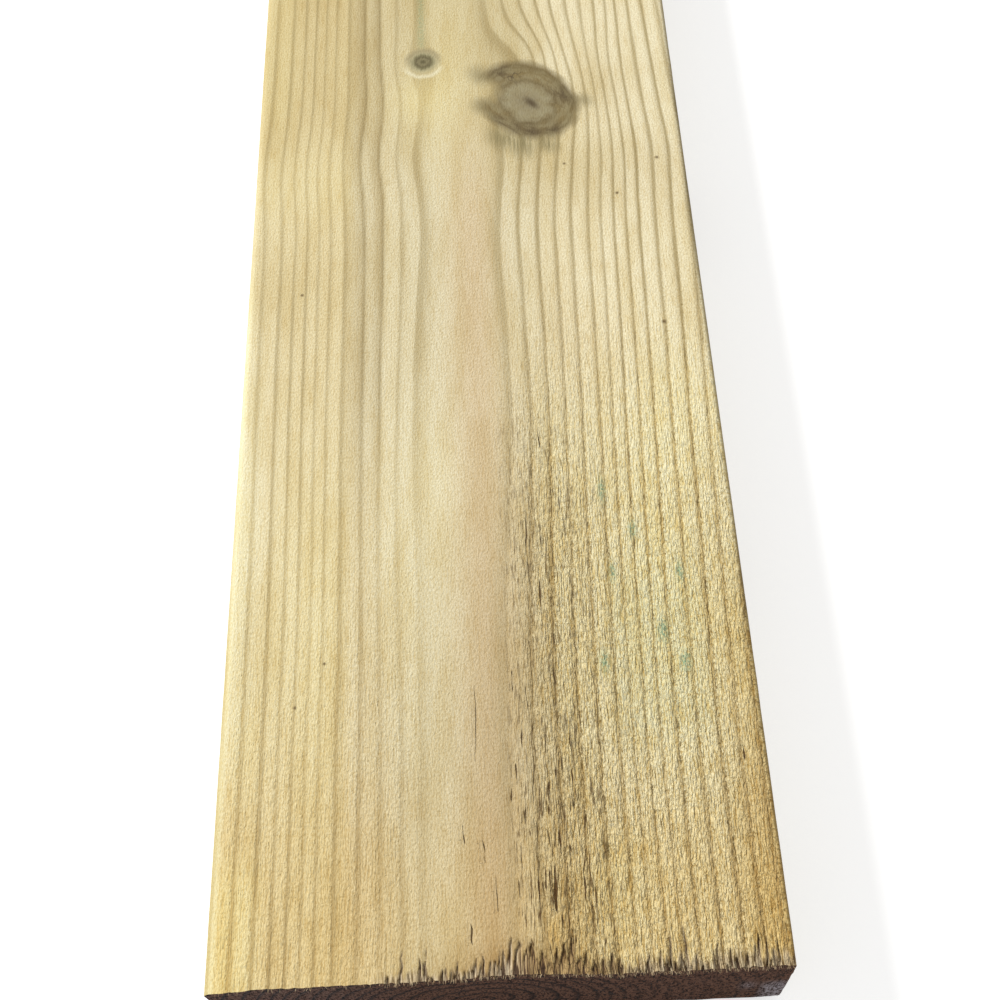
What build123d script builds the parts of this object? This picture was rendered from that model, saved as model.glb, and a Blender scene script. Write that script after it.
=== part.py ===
# A plain decking board: one piece of softwood, planed on four sides and cross-cut square at both ends.
# X runs across the width, Y along the grain, Z up. The origin is under the middle of the board.
import os

from build123d import *

# Finished section of the planed stock, in millimetres
BOARD_WIDTH = 140.0
BOARD_THICKNESS = 38.0

# The planer eases the long arrises of the face that is walked on and those of the underside
FACE_ARRIS_RADIUS = 2.0
UNDERSIDE_ARRIS_RADIUS = 2.0

# Stock length between the two saw cuts
BOARD_LENGTH = 1800.0

os.makedirs("parts", exist_ok=True)

# The section stands on the floor line and runs the same way along the whole length.
# The arrises are eased in the section, so the saw cuts at the ends leave square, sharp edges.
with BuildPart() as decking_board:
    with BuildSketch(Plane.XZ) as section:
        Rectangle(BOARD_WIDTH, BOARD_THICKNESS, align=(Align.CENTER, Align.MIN))
        fillet(section.vertices().group_by(Axis.Y)[0], radius=UNDERSIDE_ARRIS_RADIUS)
        fillet(section.vertices().group_by(Axis.Y)[-1], radius=FACE_ARRIS_RADIUS)
    extrude(amount=BOARD_LENGTH / 2, both=True)

decking_board.part.label = "decking_board"
export_step(decking_board.part, "parts/decking_board.step")
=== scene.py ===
import math
from functools import partial

import bpy
import numpy as np
from mathutils.geometry import delaunay_2d_cdt
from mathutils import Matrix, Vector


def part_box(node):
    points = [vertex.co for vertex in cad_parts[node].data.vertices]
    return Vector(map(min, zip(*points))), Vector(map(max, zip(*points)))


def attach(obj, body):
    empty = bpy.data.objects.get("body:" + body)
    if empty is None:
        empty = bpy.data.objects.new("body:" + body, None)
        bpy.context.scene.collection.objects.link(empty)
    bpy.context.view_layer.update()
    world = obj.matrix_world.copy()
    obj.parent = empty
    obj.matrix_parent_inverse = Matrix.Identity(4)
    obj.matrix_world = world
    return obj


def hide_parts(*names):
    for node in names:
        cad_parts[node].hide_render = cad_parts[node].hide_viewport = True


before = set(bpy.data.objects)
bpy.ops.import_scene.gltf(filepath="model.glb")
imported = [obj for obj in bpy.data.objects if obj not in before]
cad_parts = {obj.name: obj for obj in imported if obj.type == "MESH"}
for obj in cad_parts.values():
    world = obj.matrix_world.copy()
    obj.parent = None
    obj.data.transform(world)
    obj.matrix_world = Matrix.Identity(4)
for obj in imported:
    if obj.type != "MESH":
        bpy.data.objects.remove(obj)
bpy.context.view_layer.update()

# A planed and pressure-treated pine decking board that was cross-cut with a coarse saw.
# Sizes are in millimetres, and Blender is given metres. A place on the board is x across it from its middle,
# g along the grain from the photographed end, and z above its underside.
MM = 0.001
low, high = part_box("decking_board")
WIDTH, LENGTH, THICKNESS = (side / MM for side in high - low)
MIDDLE = (low.x + high.x) / 2 / MM
PHOTOGRAPHED_END = low.y / MM
UNDERSIDE = low.z / MM
ARRIS = 2.0

# The photograph shows the board from its sawn end to about here
SHOWN_LENGTH = 345.0


def fade(value, start, end):
    """0 up to start and 1 from end on, with a smooth step between them. The end may be the smaller one."""
    share = np.clip((value - start) / (end - start), 0.0, 1.0)
    return share * share * (3.0 - 2.0 * share)


def hill(value, middle, half_width):
    """1 in the middle, with a smooth fall to 0 on both sides."""
    return np.exp(-(((value - middle) / half_width) ** 2))


def patches(x, g, rows):
    """Soft patches added up. A row gives the amount, and how it spreads across the board and along the grain:
    as a hill with its middle and half width, or as a fade with its start and end."""
    return sum(amount * across(x, a, b) * along(g, c, d) for amount, across, a, b, along, c, d in rows)


def rough(across, along, seed):
    """Smooth random heights from -1 to 1 over a lattice of unit squares."""
    cells = 257
    heights = np.random.default_rng(seed).uniform(-1.0, 1.0, (cells, cells))
    column = np.floor(across).astype(int)
    row = np.floor(along).astype(int)
    right = fade(across - column, 0.0, 1.0)
    up = fade(along - row, 0.0, 1.0)
    here, beside = column % cells, (column + 1) % cells
    near, far = row % cells, (row + 1) % cells
    near_height = heights[here, near] * (1.0 - right) + heights[beside, near] * right
    far_height = heights[here, far] * (1.0 - right) + heights[beside, far] * right
    return near_height * (1.0 - up) + far_height * up


def waves(across, along, rows):
    """Random heights added up. A row gives the most height, the size of a wave each way, and a seed."""
    return sum(most * rough(across / wide, along / long, seed) for most, wide, long, seed in rows)


# How the tree grew. The pith lies inside the board, so the same rings show on both halves of the face, and as
# arches on the sawn ends.
RING_WIDTHS = (3.0, 5.0, 5.0, 6.0, 5.0, 5.0, 2.9, 3.5, 3.8, 3.7,
               4.1, 3.0, 3.0, 3.2, 3.7, 4.9, 4.7, 4.6, 4.5, 4.5)
RING_RADII = np.concatenate(([0.0], np.cumsum(RING_WIDTHS)))
RING_WAVES = ((0.35, 28.0, 90.0, 1), (0.12, 7.0, 30.0, 2))
RING_SPREAD = 1.025
SPREAD_SWAY = 0.025
PITH_X = -4.6
PITH_DEPTH = 27.5
SWAY_LENGTH = 440.0
SWAY_START = 140.0
SWAY_ACROSS = 0.9
SWAY_DOWN = 0.5
DRIFT_LEFT = 7.0
DRIFT_DOWN = 6.0

# Two branches that the face cuts through, a thick one and a twig. Both start at the pith, where they have
# this share of their size, and the trunk bulges a little before them.
BRANCH = {"x": 20.5, "g": 284.0, "long": 19.0, "short": 14.5, "turn": math.radians(-53.0)}
TWIG = {"x": -14.4, "g": 305.0, "long": 6.4, "short": 6.2, "turn": math.radians(90.0)}
SHARE_AT_PITH = 0.02
WHORL_AT = 258.0
WHORL_REACH = 20.0
WHORL_BULGE = 1.4

# How far the grain is pushed to the right, as patches
GRAIN_BENDS = (
    (9.0, hill, 18.0, 12.0, hill, 303.0, 16.0), (2.2, hill, 10.0, 13.0, hill, 155.0, 50.0),
    (-2.0, hill, -24.0, 7.0, hill, 125.0, 50.0), (-2.6, hill, -16.0, 5.0, fade, 230.0, 170.0),
    (1.1, hill, -25.0, 12.0, hill, 247.0, 12.0), (-1.6, hill, -25.0, 12.0, fade, 290.0, 330.0),
    (1.0, hill, 48.0, 8.0, fade, 80.0, 200.0), (1.8, hill, 48.0, 8.0, fade, 295.0, 330.0),
)


def sway(g):
    """The slow bend of the trunk along the board, from -1 to 1."""
    return np.sin(2.0 * math.pi * (g - SWAY_START) / SWAY_LENGTH)


def pith(g):
    """Where the pith runs: across the board, and above its underside. It drifts past the shown length."""
    drift = np.clip((g - SHOWN_LENGTH) / (LENGTH - SHOWN_LENGTH), 0.0, 1.0) ** 2
    across = PITH_X + SWAY_ACROSS * sway(g) - DRIFT_LEFT * drift
    return across, THICKNESS - PITH_DEPTH - SWAY_DOWN * sway(g) - DRIFT_DOWN * drift


def in_knot(knot, x, g, z):
    """A place measured from a knot's middle along its two axes, with 1 at its rim."""
    pith_x, pith_z = pith(g)
    grown = np.clip((z - pith_z) / (THICKNESS - pith_z), SHARE_AT_PITH, 1.0)
    across = x - pith_x - (knot["x"] - pith_x) * grown
    along = g - knot["g"]
    lengthwise = (across * math.cos(knot["turn"]) + along * math.sin(knot["turn"])) / knot["long"]
    sideways = (along * math.cos(knot["turn"]) - across * math.sin(knot["turn"])) / knot["short"]
    return lengthwise / grown, sideways / grown


def bend(x, g):
    """How far the grain is pushed across the board. It goes round the thick branch on its right and leans
    away from its upper side, and it parts at the twig. One line at the left lies further out all along."""
    by_branch = 4.5 * hill(g, BRANCH["g"], 20.0)
    by_branch = by_branch * fade(x, 12.0, 24.0) * np.exp(-np.maximum(x - 36.0, 0.0) / 8.0)
    left_of_twig = -3.0 * fade(x, -13.0, -18.0) * np.exp(-np.maximum(-21.0 - x, 0.0) / 7.0)
    right_of_twig = 2.0 * fade(x, -17.0, -12.0) * hill(x, -10.0, 7.0)
    by_twig = (left_of_twig + right_of_twig) * hill(g, TWIG["g"] - 1.0, 13.0)
    left_line = -1.1 * hill(x, -40.0, 4.0)
    return by_branch + by_twig + left_line + patches(x, g, GRAIN_BENDS)


def ring_number(x, g, z):
    """The year's ring that a place lies in. A whole number is the dark line that ends a year."""
    pith_x, pith_z = pith(g)
    above_pith = fade(z, pith_z, THICKNESS)
    radius = np.hypot(x - above_pith * bend(x, g) - pith_x, z - pith_z)
    radius = radius - WHORL_BULGE * hill(g, WHORL_AT, WHORL_REACH) + waves(x, g, RING_WAVES)
    return np.interp(radius / (RING_SPREAD + SPREAD_SWAY * sway(g)), RING_RADII, np.arange(len(RING_RADII)))


# Strips of the surface that the saw pulled out of the edge of the face: place across the board, length and
# width. Short ones lie between them by chance.
LONG_STRIPS = (
    (-23.0, 6.3, 0.7), (-17.0, 6.0, 0.7), (-13.0, 3.0, 0.7), (-9.6, 3.6, 0.7), (-5.3, 4.0, 0.8),
    (-4.2, 3.0, 0.6), (-3.0, 5.5, 0.7), (-1.8, 4.0, 0.7), (-0.6, 4.5, 1.0), (0.3, 5.4, 0.7),
    (1.2, 7.0, 1.2), (2.8, 9.8, 1.4), (4.7, 9.0, 2.2), (6.6, 6.6, 2.4), (8.8, 7.6, 2.4),
    (10.8, 5.4, 2.4), (12.4, 3.2, 1.8), (13.9, 6.0, 1.2), (15.6, 6.5, 2.2), (17.4, 10.2, 1.8),
    (19.2, 4.4, 2.2), (21.0, 4.2, 2.0), (23.0, 2.4, 2.2), (25.0, 3.8, 1.4), (27.0, 5.0, 1.4),
    (35.5, 2.6, 1.4), (38.6, 4.2, 1.0), (40.8, 9.0, 0.7), (44.8, 9.8, 0.8), (52.0, 6.5, 0.7),
    (56.0, 2.6, 1.6), (58.5, 3.0, 1.4), (61.2, 8.0, 1.0), (63.0, 6.0, 0.6), (66.0, 4.5, 0.7),
)
SHORT_STRIPS = 80
SHORT_STRIPS_FROM = -26.0
STRIP_DEPTH = 0.55
STRIPS_END = 11.2
STRIP_LEAN = 0.08
STRIP_WANDER = 0.25
STRIP_TAPER = 0.75
STRIP_SIDE_SLOPE = 0.25
STRIP_TIP_SLOPE = 0.8
STRIP_FLOOR = ((0.35, 0.45, 6.0, 16),)
SHADE_BEHIND = 1.1
SHADE_BESIDE = 0.42
SHADED_DEPTH = 0.2

# Between the strips the sawn edge is frayed bare for a short way, which varies by this much
BARE_EDGE = ((1.8, 1.3, 1.0, 18), (1.2, 0.5, 1.0, 19))

# Drying cracks in the face: place across the board, where each starts and ends along the grain, and width
CRACKS = (
    (10.8, 13.0, 39.0, 0.4), (10.7, 40.0, 56.0, 0.3), (14.5, 14.5, 27.0, 0.9), (13.7, 30.0, 36.0, 0.8),
    (14.2, 38.0, 42.0, 0.6), (14.6, 43.0, 48.0, 0.35), (14.2, 54.0, 62.0, 0.5), (16.6, 28.0, 40.0, 0.5),
    (16.7, 45.0, 54.0, 0.35), (6.3, 46.5, 53.0, 0.42), (5.0, 42.5, 46.5, 0.3), (8.3, 56.0, 62.0, 0.28),
    (8.4, 36.0, 46.0, 0.25), (6.8, 24.0, 33.0, 0.25), (5.9, 18.0, 24.0, 0.22), (-2.3, 27.5, 34.5, 0.3),
    (0.8, 15.0, 25.0, 0.2), (20.7, 53.0, 65.0, 0.5), (20.2, 45.0, 52.0, 0.35), (19.5, 39.0, 44.5, 0.5),
    (18.9, 24.0, 31.0, 0.4), (12.4, 100.0, 127.0, 0.4), (15.9, 110.0, 122.0, 0.4), (15.2, 92.0, 105.0, 0.4),
    (17.3, 145.0, 154.0, 0.3), (22.0, 124.0, 136.0, 0.3), (6.5, 71.0, 79.0, 0.4), (10.0, 66.0, 74.0, 0.4),
    (-3.5, 52.0, 76.0, 0.16), (-7.0, 32.0, 38.0, 0.3), (-6.0, 8.0, 14.0, 0.3), (17.5, 66.0, 80.0, 0.4),
    (64.0, 50.0, 53.5, 0.5),
)
CRACK_REACH = 1.1
CRACK_DEPTH = 0.6
CRACK_SLOPE = 0.7
CRACK_WANDER = ((0.4, 6.0, 1.0, 4), (0.25, 2.4, 1.0, 17))
WIDEST_HALF = 0.5

# Each strip and crack reads the random heights along a line of its own, set by its place times this
LINES_APART = 3.0

# A raised golden splinter at the sawn edge, torn grain between sunken year lines, and the marks of the saw
SPLINTER_X = 13.8
SPLINTER_G = 9.8
SPLINTER = ((0.5, hill, SPLINTER_X, 1.4, hill, SPLINTER_G, 3.4),)
TORN_GRAIN = ((0.14, 1.7, 6.0, 6), (0.2, 1.0, 2.0, 7))
LINE_HALF_WIDTH = 0.14
LINE_DEPTH = 0.22
SAW_MARKS = ((0.14, 1.2, 1.6, 8), (0.08, 0.6, 9.0, 9))
SAW_DEPTH = 0.22

# Specks of dried resin: x, g and how far each reaches
RESIN_SPECKS = (
    (57.0, 188.0, 1.2), (61.0, 254.0, 1.0), (47.0, 240.0, 1.0), (-53.0, 207.0, 0.9), (31.0, 254.0, 0.8),
    (-50.5, 71.0, 0.8), (-43.0, 83.0, 0.7),
)

# Spots where the copper of the treatment dried on the face: x, g, half width and half length
COPPER_SPOTS = (
    (34.0, 131.0, 1.0, 3.6), (41.5, 118.0, 1.0, 2.6), (35.0, 105.0, 0.9, 3.0), (53.0, 104.0, 1.2, 3.0),
    (47.0, 87.0, 1.6, 3.6), (31.0, 79.0, 1.2, 3.0), (52.0, 78.0, 1.6, 3.0),
)

# Tones of the face, as patches: where the year lines are faint, and where the wood is pale, dirty, warm
# or shaded. One of the pale patches is a painted sheen.
FAINT_LINES = ((-0.6, hill, -14.0, 5.0, fade, 200.0, 150.0), (-0.4, hill, 5.5, 3.0, fade, 200.0, 150.0))
PALE_AND_SHEEN_PATCHES = (
    (0.3, hill, -64.0, 5.0, hill, 62.0, 18.0), (0.7, fade, -60.0, -68.0, hill, 125.0, 55.0),
    (0.3, fade, -54.0, -64.0, fade, 265.0, 290.0), (0.6, fade, -54.0, -62.0, fade, 40.0, 20.0),
    (0.3, hill, -54.0, 12.0, hill, 100.0, 50.0), (0.3, hill, -43.0, 7.0, hill, 85.0, 55.0),
    # The second patch on the next line, at x -22 and g 120, is a painted sheen
    (0.35, fade, -30.0, -42.0, hill, 252.0, 18.0), (0.35, hill, -22.0, 12.0, hill, 120.0, 50.0),
    (0.6, hill, -17.0, 9.0, hill, 287.0, 12.0), (0.25, hill, -11.0, 6.0, hill, 138.0, 20.0),
    (0.5, hill, -8.0, 10.0, hill, 295.0, 40.0), (0.44, fade, 12.0, 22.0, fade, 190.0, 140.0),
    (-0.3, fade, 12.0, 22.0, fade, 80.0, 30.0), (0.25, hill, 30.0, 8.0, hill, 20.0, 14.0),
    (0.5, hill, 48.0, 12.0, hill, 100.0, 45.0), (0.45, hill, 58.0, 12.0, hill, 160.0, 28.0),
)
DIRTY_PATCHES = (
    (0.2, hill, -31.0, 12.0, fade, 90.0, 30.0), (0.1, hill, -34.0, 6.0, hill, 85.0, 35.0),
    (0.16, hill, -33.0, 10.0, hill, 110.0, 60.0), (0.07, hill, -34.0, 14.0, hill, 172.0, 20.0),
    (0.5, fade, -30.0, -5.0, fade, 12.0, 0.0), (-0.5, fade, 12.0, 24.0, fade, 12.0, 0.0),
    (-0.2, hill, 9.0, 6.0, hill, 20.0, 13.0), (0.14, hill, 9.0, 6.0, hill, 85.0, 25.0),
    (0.14, fade, 12.0, 20.0, hill, 250.0, 18.0), (0.14, hill, 25.0, 9.0, hill, 190.0, 35.0),
    (0.16, hill, 44.0, 9.0, hill, 288.0, 14.0),
)
WARM_PATCHES = (
    # The second patch on the next line takes the warmth off the left arris, where a highlight is painted
    (0.3, fade, -58.0, -66.0, fade, 75.0, 30.0), (-0.3, fade, -66.0, -69.0, fade, 75.0, 30.0),
    (0.2, fade, -18.0, -36.0, fade, 90.0, 30.0), (0.5, fade, 58.0, 69.0, fade, 120.0, 40.0),
    (0.9, hill, SPLINTER_X, 1.5, hill, SPLINTER_G, 3.6),
)
SHADED_PATCHES = (
    (1.0, fade, 34.0, 14.0, fade, 225.0, 300.0), (0.9, hill, 32.0, 16.0, hill, 254.0, 16.0),
    (0.9, hill, 43.0, 6.0, hill, 288.0, 12.0), (0.5, fade, -12.0, -25.0, hill, 215.0, 22.0),
)

# Dirt towards the sawn end, as steps across the board: amount, start and end
DIRT_STEPS = (
    (0.08, -45.0, -25.0), (0.18, -20.0, 0.0), (0.06, 4.0, 10.0), (-0.32, 18.0, 30.0), (0.35, 54.0, 68.0))

# The scuffed corner of the sawn end, as patches over x and z, and a thin scuff to its left
END_SCUFFS = ((1.0, fade, 63.0, 66.0, fade, 22.0, 14.0), (0.6, hill, 60.5, 1.6, hill, 16.0, 4.0))

# Rings that are stained grey at the left, and how strongly shade is painted grey on the right arris
STAINED_RINGS = (8, 9)
ARRIS_PAINTED_SHADE = 1.6


def torn_share(x, g):
    """How far the planer has lifted the fibres instead of cutting them: most at the right of the near end."""
    right = fade(x, 0.0, 20.0) * fade(g, 235.0, 90.0)
    left = (0.12 + 0.2 * fade(x, -14.0, -26.0)) * fade(g, 170.0, 40.0) * fade(x, -68.5, -66.0)
    return np.maximum(right, left)


def all_strips():
    """The long strips and the short ones between them, each as its place, length and width."""
    rng = np.random.default_rng(3)
    places = rng.uniform(SHORT_STRIPS_FROM, WIDTH / 2 - ARRIS, SHORT_STRIPS)
    lengths = 0.8 + 4.4 * rng.uniform(0.0, 1.0, SHORT_STRIPS) ** 2
    widths = rng.uniform(0.4, 1.1, SHORT_STRIPS)
    return list(LONG_STRIPS) + list(zip(places, lengths, widths))


def torn_edge(x, g):
    """How far the surface is pulled out at the sawn edge, and how much shade is painted on a place there,
    where the wood on its left and behind it would shade it, each from 0 to 1."""
    opened, shaded = np.zeros_like(x), np.zeros_like(x)
    close = g < STRIPS_END
    x, g = x[close], g[close]
    out, dim = np.zeros_like(x), np.zeros_like(x)
    for place, length, width in all_strips():
        own_line = np.full_like(x, LINES_APART * place)
        lean = STRIP_LEAN * g * math.sin(7.0 * place)
        aside = x - place - lean - STRIP_WANDER * rough(g / 2.0, own_line, 5)
        reach = length * (1.0 + 0.3 * rough(x / 0.3, own_line, 3))
        half_width = 0.5 * width * (1.0 - STRIP_TAPER * np.clip(g / length, 0.0, 1.0) ** 1.5)
        inside = np.clip(0.5 + (half_width - np.abs(aside)) / STRIP_SIDE_SLOPE, 0.0, 1.0)
        inside = inside * np.clip(0.5 + (reach - g) / STRIP_TIP_SLOPE, 0.0, 1.0)
        behind = 0.9 * fade(g, reach - SHADE_BEHIND, reach - 0.1)
        beside = fade(aside, SHADE_BESIDE - half_width, -half_width)
        strength = 0.55 + 0.45 * abs(math.sin(11.0 * place))
        out = np.maximum(out, inside)
        dim = np.maximum(dim, strength * inside * np.maximum(behind, beside))
    opened[close], shaded[close] = out, dim
    return opened, shaded


def bare_edge(x, g):
    """How bare the frayed wood is between the strips, from 0 to 1."""
    bare_to = 2.2 + 2.0 * fade(x, -6.0, 6.0) + waves(x, np.zeros_like(x), BARE_EDGE)
    return 0.75 * fade(g, bare_to, 0.3 * bare_to) * fade(x, -32.0, -24.0)


def crack(x, g):
    """Distance to the nearest crack with its side as the sign, and half that crack's width at this place."""
    distance = np.full_like(x, CRACK_REACH)
    half_width = np.zeros_like(x)
    for place, start, end, width in CRACKS:
        share = np.clip((g - start) / (end - start), 0.0, 1.0)
        own_line = np.full_like(g, LINES_APART * place)
        offset = x - place - waves(g, own_line, CRACK_WANDER)
        nearer = (np.abs(offset) < np.abs(distance)) & (g > start - 2.0) & (g < end + 2.0)
        ragged = np.clip(0.65 + 0.9 * rough(g / 2.0, own_line, 15), 0.05, 1.3)
        opening = 0.5 * width * ragged * np.sin(math.pi * share) ** 0.5
        opening = opening * fade(np.abs(offset), CRACK_REACH, 0.5) - 0.2 * fade(np.abs(share - 0.5), 0.4, 0.5)
        distance = np.where(nearer, offset, distance)
        half_width = np.where(nearer, opening, half_width)
    return distance, half_width


def face_relief(x, g, ring):
    """Height of the walked face over its planed level: torn bands between sunken year lines, cracks, tears
    and the splinter."""
    line = hill(ring, np.round(ring), LINE_HALF_WIDTH)
    height = torn_share(x, g) * (waves(x, g, TORN_GRAIN) - LINE_DEPTH * line) + patches(x, g, SPLINTER)
    distance, half_width = crack(x, g)
    in_crack = np.clip(1.0 - np.abs(distance) / CRACK_SLOPE, 0.0, 1.0)
    height -= CRACK_DEPTH * in_crack * np.maximum(half_width, 0.0) / WIDEST_HALF
    opened, shaded = torn_edge(x, g)
    return height - STRIP_DEPTH * opened * (1.0 + waves(x, g, STRIP_FLOOR)) - SHADED_DEPTH * shaded


def sawn_relief(x, z):
    """How far the coarse saw cut into the end at a place, always inwards. The cut is a little hollow."""
    hollow = 0.45 * fade(x, -68.0, -58.0) * fade(x, 30.0, 15.0) + 0.6 * hill(x, 3.0, 11.0)
    return hollow + SAW_DEPTH + waves(x, z, SAW_MARKS)


def line_contrast(x, g):
    """How dark the year lines are: less so at the tan middle and in torn wood."""
    contrast = 0.66 + 0.26 * fade(x, -20.0, 25.0) - 0.32 * torn_share(x, g)
    contrast = contrast + 0.15 * rough(x / 9.0, g / 60.0, 12)
    contrast = contrast * (1.0 - 0.3 * hill(x, -28.0, 8.0)) * (1.0 - 0.35 * hill(x, 0.0, 13.0))
    contrast = contrast * (1.0 + 0.22 * fade(x, -26.0, -38.0) * fade(g, 130.0, 60.0))
    return contrast * (1.0 + patches(x, g, FAINT_LINES))


def grey_stain_and_arris_shade(x, g, ring):
    """How grey the wood is: a stain that fades away behind some rings at the left, and painted shade on the
    right arris.
    """
    grey = np.zeros_like(x)
    for number in STAINED_RINGS:
        after = ring - number
        stain = fade(after, -0.12, 0.0) * np.exp(-1.6 * np.maximum(after, 0.0)) * fade(after, 1.3, 0.7)
        grey = np.maximum(grey, stain)
    return grey * fade(x, -14.0, -24.0) * fade(g, 90.0, 190.0) + ARRIS_PAINTED_SHADE * fade(x, 69.0, 69.8)


def copper_salts(x, g):
    """How much copper of the treatment shows: a faint wash at the right, a trail over the twig, and spots."""
    wash = 0.14 * fade(x, 30.0, 36.0) * fade(x, 62.0, 54.0) * fade(g, 50.0, 65.0) * fade(g, 120.0, 90.0)
    copper = wash + 0.4 * hill(x, -15.0, 1.3) * fade(g, 306.0, 316.0)
    for spot_x, spot_g, half_width, half_length in COPPER_SPOTS:
        copper = np.maximum(copper, hill(x, spot_x, half_width) * hill(g, spot_g, half_length))
    return copper


def growth_and_wear(x, g, z):
    """What the materials need to know at each vertex, as attributes of three values."""
    on_face = fade(z, THICKNESS - 4.0, THICKNESS - 1.0)
    ring = ring_number(x, g, z)
    gold = fade(ring, 9.2, 9.8) * fade(x, -20.0, -30.0)
    gold = gold * (1.0 - 0.8 * fade(x, -57.0, -66.0) * hill(g, 130.0, 60.0))
    dirt = sum(amount * fade(x, start, end) for amount, start, end in DIRT_STEPS)
    dirt = dirt * fade(g, 170.0, 20.0) * (1.0 + 0.3 * rough(x / 12.0, g / 40.0, 13))
    dirt = dirt + patches(x, g, DIRTY_PATCHES)
    warm = 0.45 * fade(g, 60.0, 10.0) * (1.0 - 0.5 * fade(x, -30.0, -50.0)) + patches(x, g, WARM_PATCHES)
    tan = hill(x, 0.5, 8.0) * fade(g, 300.0, 220.0)
    scuff = (patches(x, z, END_SCUFFS) + 0.09 * fade(x, -15.0, -45.0)) * fade(g, 0.5, 0.0)
    checked = fade(x, 2.0, 9.0) * fade(x, 40.0, 22.0)
    checked = checked * (0.6 * fade(g, 190.0, 120.0) + 0.4 * fade(g, 90.0, 20.0))

    # A highlight is painted on the left arris where the face beside it is worn: there it loses its gold,
    # warmth and dirt and turns pale
    painted_arris_highlight = fade(x, -67.6, -68.6) * fade(g, 260.0, 160.0)
    gold, warm, dirt = (amount * (1.0 - painted_arris_highlight) for amount in (gold, warm, dirt))
    pale = patches(x, g, PALE_AND_SHEEN_PATCHES) + painted_arris_highlight
    distance, half_width = crack(x, g)
    opened, shaded = torn_edge(x, g)
    opened = np.maximum(opened, bare_edge(x, g))
    return {
        "growth": (ring, line_contrast(x, g), gold),
        "wear": (torn_share(x, g) * on_face, checked * on_face, np.clip(dirt, 0.0, 1.0) * on_face),
        "edge": (shaded * on_face, opened * on_face, scuff),
        "stains_and_arris_shade": (np.clip(warm, 0.0, 1.0) * on_face, copper_salts(x, g) * on_face,
                   grey_stain_and_arris_shade(x, g, ring) * on_face),
        "cracks": (distance, half_width * on_face, pale * on_face),
        "branch": (*in_knot(BRANCH, x, g, z), patches(x, g, SHADED_PATCHES) * on_face),
        "twig": (*in_knot(TWIG, x, g, z), tan * on_face),
    }


# The board's mesh. Its section is a closed loop of columns, and it keeps fewer of them further from the sawn
# end: level 0 columns end with the torn edge, level 1 ones with the shown length, and level 2 ones run all
# along.
ARRIS_STEPS = 4
SIDE_STEPS = 10
UNDERSIDE_STEPS = 28
CLEAN_LEVELS = [2, 1] * 27
TORN_LEVELS = [2, 0, 1, 0, 1, 0] * 63
TORN_FROM = -28.0
FACE, RIGHT_SIDE, LOWER_FACE, LEFT_SIDE = range(4)

# Rows along the grain, as start, end and step, and the rows past the shown length, which lie further and
# further apart
TORN_ROWS = (0.0, 11.5, 0.4)
SHOWN_ROWS = ((12.2, 60.0, 1.0), (60.0, 180.0, 1.6), (180.0, 344.0, 2.6))
FAR_ROWS = 110
FAR_STRETCH = 1.3

# The saw cut's relief reaches this far in, the raised grain this high, and the planer's marks about this deep
CUT_REACH = 8.0
HIGHEST_GRAIN = 0.3
PLANER_MARKS = 0.04

# About how far apart the vertices inside the near and the far sawn end lie, the shares of it that chance
# moves them by and that they keep off the edge, and how many strip depths they keep off a tear
END_SPACINGS = (1.1, 3.0)
END_JITTER = 0.25
END_MARGIN = 0.8
TEAR_MARGIN = 1.6

# Upright strips of the baked picture, each with the part of the board's length that it holds. The shown part
# of the face takes the widest one, the rest of the face is folded into two, and the sawn ends share the last.
FOLD_AT = 1072.0
FACE_STRIPS = (
    (0.002, 0.400, 0.0, SHOWN_LENGTH), (0.404, 0.602, SHOWN_LENGTH, FOLD_AT), (0.606, 0.804, FOLD_AT, LENGTH))
SIDE_STRIPS = {LOWER_FACE: (0.808, 0.886), RIGHT_SIDE: (0.890, 0.916), LEFT_SIDE: (0.920, 0.946)}
STRIP_FOOT = 0.002
STRIP_HEIGHT = 0.996
END_STRIP = (0.950, 0.998)
END_FEET = (0.004, 0.504)
END_HEIGHT = 0.49


def section():
    """The columns from the face's left arris onwards: x, z, which way each faces, level and long side."""
    columns = []

    def add_arris(x, z, start, side):
        for step in range(ARRIS_STEPS):
            angle = math.radians(start - 90.0 * step / ARRIS_STEPS)
            out_x, out_z = math.cos(angle), math.sin(angle)
            columns.append((x + ARRIS * out_x, z + ARRIS * out_z, out_x, out_z, 2, side))

    def add_flat(start, end, facing, levels, side):
        for step, level in enumerate(levels):
            share = step / len(levels)
            x, z = (a + (b - a) * share for a, b in zip(start, end))
            columns.append((x, z, *facing, level, side))

    edge, right, top = WIDTH / 2, WIDTH / 2 - ARRIS, THICKNESS - ARRIS
    add_arris(-right, top, 180.0, FACE)
    add_flat((-right, THICKNESS), (TORN_FROM, THICKNESS), (0.0, 1.0), CLEAN_LEVELS, FACE)
    add_flat((TORN_FROM, THICKNESS), (right, THICKNESS), (0.0, 1.0), TORN_LEVELS, FACE)
    add_arris(right, top, 90.0, FACE)
    add_flat((edge, top), (edge, ARRIS), (1.0, 0.0), [2] * SIDE_STEPS, RIGHT_SIDE)
    add_arris(right, ARRIS, 0.0, LOWER_FACE)
    add_flat((right, 0.0), (-right, 0.0), (0.0, -1.0), [2] * UNDERSIDE_STEPS, LOWER_FACE)
    add_arris(-right, ARRIS, -90.0, LOWER_FACE)
    add_flat((-edge, ARRIS), (-edge, top), (-1.0, 0.0), [2] * SIDE_STEPS, LEFT_SIDE)
    return np.array(columns)


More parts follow.
